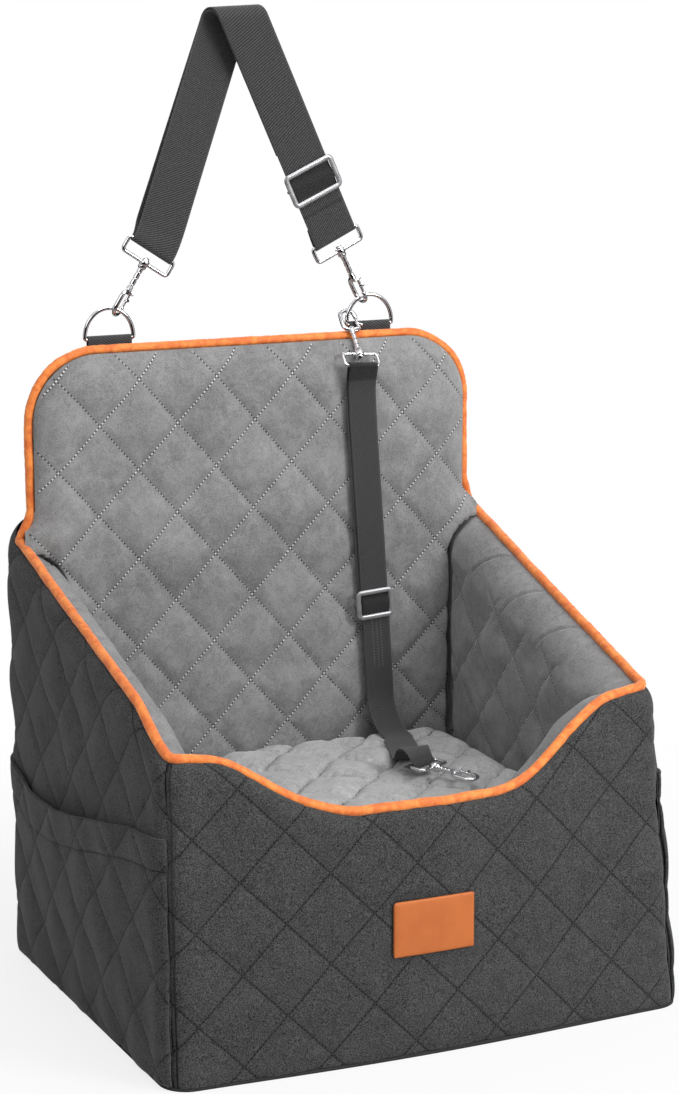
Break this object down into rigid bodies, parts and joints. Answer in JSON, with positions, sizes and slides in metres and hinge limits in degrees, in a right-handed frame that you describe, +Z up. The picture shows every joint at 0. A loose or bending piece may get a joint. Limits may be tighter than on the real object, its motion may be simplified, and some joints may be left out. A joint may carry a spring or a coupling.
{
  "type": "dog car seat",
  "caption": "Quilted dog booster seat with tall back panel, orange piping, loose cushion, side pockets, headrest strap and harness tether with swivel snap hooks.",
  "frame": {"origin": "middle of the underside, on the floor", "axes": "+Z up, +Y towards the back panel, +X to the seat's right as seen from its front"},
  "size_m": [0.5392, 0.437, 0.9312],
  "materials": {
    "dark_velvet": "quilted charcoal velvet",
    "grey_velvet": "quilted grey velvet",
    "foam": "open-cell sponge",
    "base_cloth": "dotted non-slip cloth",
    "orange_piping": "satin-covered cord",
    "orange_label": "matt imitation leather",
    "black_webbing": "twill-woven webbing",
    "chrome_steel": "polished plating"
  },
  "bodies": {
    "body": {"outer_front": "dark_velvet", "outer_left": "dark_velvet", "outer_right": "dark_velvet", "outer_rear": "dark_velvet", "lining_front": "grey_velvet", "lining_left": "grey_velvet", "lining_right": "grey_velvet", "lining_back": "grey_velvet", "foam_front": "foam", "foam_left": "foam", "foam_right": "foam", "foam_back": "foam", "booster_foam": "foam", "non_slip_base": "base_cloth", "rim_piping": "orange_piping", "left_pocket": "dark_velvet", "right_pocket": "dark_velvet", "label_patch": "orange_label", "seat_cushion": "grey_velvet", "left_ring_tab": "black_webbing", "right_ring_tab": "black_webbing"},
    "left_ring": {"left_d_ring": "chrome_steel"},
    "right_ring": {"right_d_ring": "chrome_steel"},
    "strap": {"headrest_strap": "black_webbing", "left_hook_eye": "chrome_steel", "left_hook_body": "chrome_steel", "right_hook_eye": "chrome_steel", "right_hook_body": "chrome_steel"},
    "strap_slider": {"strap_triglide": "chrome_steel"},
    "left_gate": {"left_hook_gate": "chrome_steel"},
    "right_gate": {"right_hook_gate": "chrome_steel"},
    "tether": {"tether_webbing": "black_webbing", "tether_top_eye": "chrome_steel", "tether_top_body": "chrome_steel", "tether_end_eye": "chrome_steel"},
    "tether_slider": {"tether_triglide": "chrome_steel"},
    "top_gate": {"tether_top_gate": "chrome_steel"},
    "end_hook": {"tether_end_body": "chrome_steel"},
    "end_gate": {"tether_end_gate": "chrome_steel"}
  },
  "joints": [
    {"name": "left_ring_hinge", "type": "hinge", "parent": "body", "child": "left_ring", "pos_m": [-0.148, 0.1961, 0.6125], "axis": [-1, 0, 0], "range_deg": [0, 25]},
    {"name": "right_ring_hinge", "type": "hinge", "parent": "body", "child": "right_ring", "pos_m": [0.132, 0.1961, 0.6125], "axis": [-1, 0, 0], "range_deg": [0, 25]},
    {"name": "strap_hinge", "type": "hinge", "parent": "left_ring", "child": "strap", "pos_m": [0, 0.1961, 0.64062], "axis": [1, 0, 0], "range_deg": [-15, 75]},
    {"name": "strap_slider_slide", "type": "slide", "parent": "strap", "child": "strap_slider", "axis": [-0.4208, -0.0348, 0.9065], "range_m": [0, 0.1]},
    {"name": "left_gate_hinge", "type": "hinge", "parent": "strap", "child": "left_gate", "pos_m": [-0.12384, 0.2019, 0.65439], "axis": [-0.6233, 0.6691, 0.4047], "range_deg": [0, 18], "stiffness_Nm_per_rad": 0.02, "springref_deg": -5.73},
    {"name": "right_gate_hinge", "type": "hinge", "parent": "strap", "child": "right_gate", "pos_m": [0.11554, 0.18842, 0.65901], "axis": [0.8851, 0.1736, 0.4317], "range_deg": [0, 18], "stiffness_Nm_per_rad": 0.02, "springref_deg": -5.73},
    {"name": "tether_hinge", "type": "hinge", "parent": "right_ring", "child": "tether", "pos_m": [0.10785, 0.1961, 0.62175], "axis": [-1, 0, 0], "range_deg": [0, 30]},
    {"name": "tether_slider_slide", "type": "slide", "parent": "tether", "child": "tether_slider", "axis": [-0.0683, 0, 0.9977], "range_m": [-0.03, 0.15]},
    {"name": "top_gate_hinge", "type": "hinge", "parent": "tether", "child": "top_gate", "pos_m": [0.11422, 0.18261, 0.60917], "axis": [0, -0.682, 0.7314], "range_deg": [0, 18], "stiffness_Nm_per_rad": 0.02, "springref_deg": -5.73},
    {"name": "end_hook_swivel", "type": "hinge", "parent": "tether", "child": "end_hook", "pos_m": [0.11164, -0.07523, 0.209], "axis": [-0.3872, 0.9211, 0.0409], "range_deg": [-20, 20]},
    {"name": "end_gate_hinge", "type": "hinge", "parent": "end_hook", "child": "end_gate", "pos_m": [0.11116, -0.05397, 0.20981], "axis": [-0.0159, 0.0377, -0.9992], "range_deg": [0, 18], "stiffness_Nm_per_rad": 0.02, "springref_deg": -5.73}
  ],
  "couplings": [
    {"joint": "right_ring_hinge", "follows": "left_ring_hinge", "ratio": 1}
  ]
}
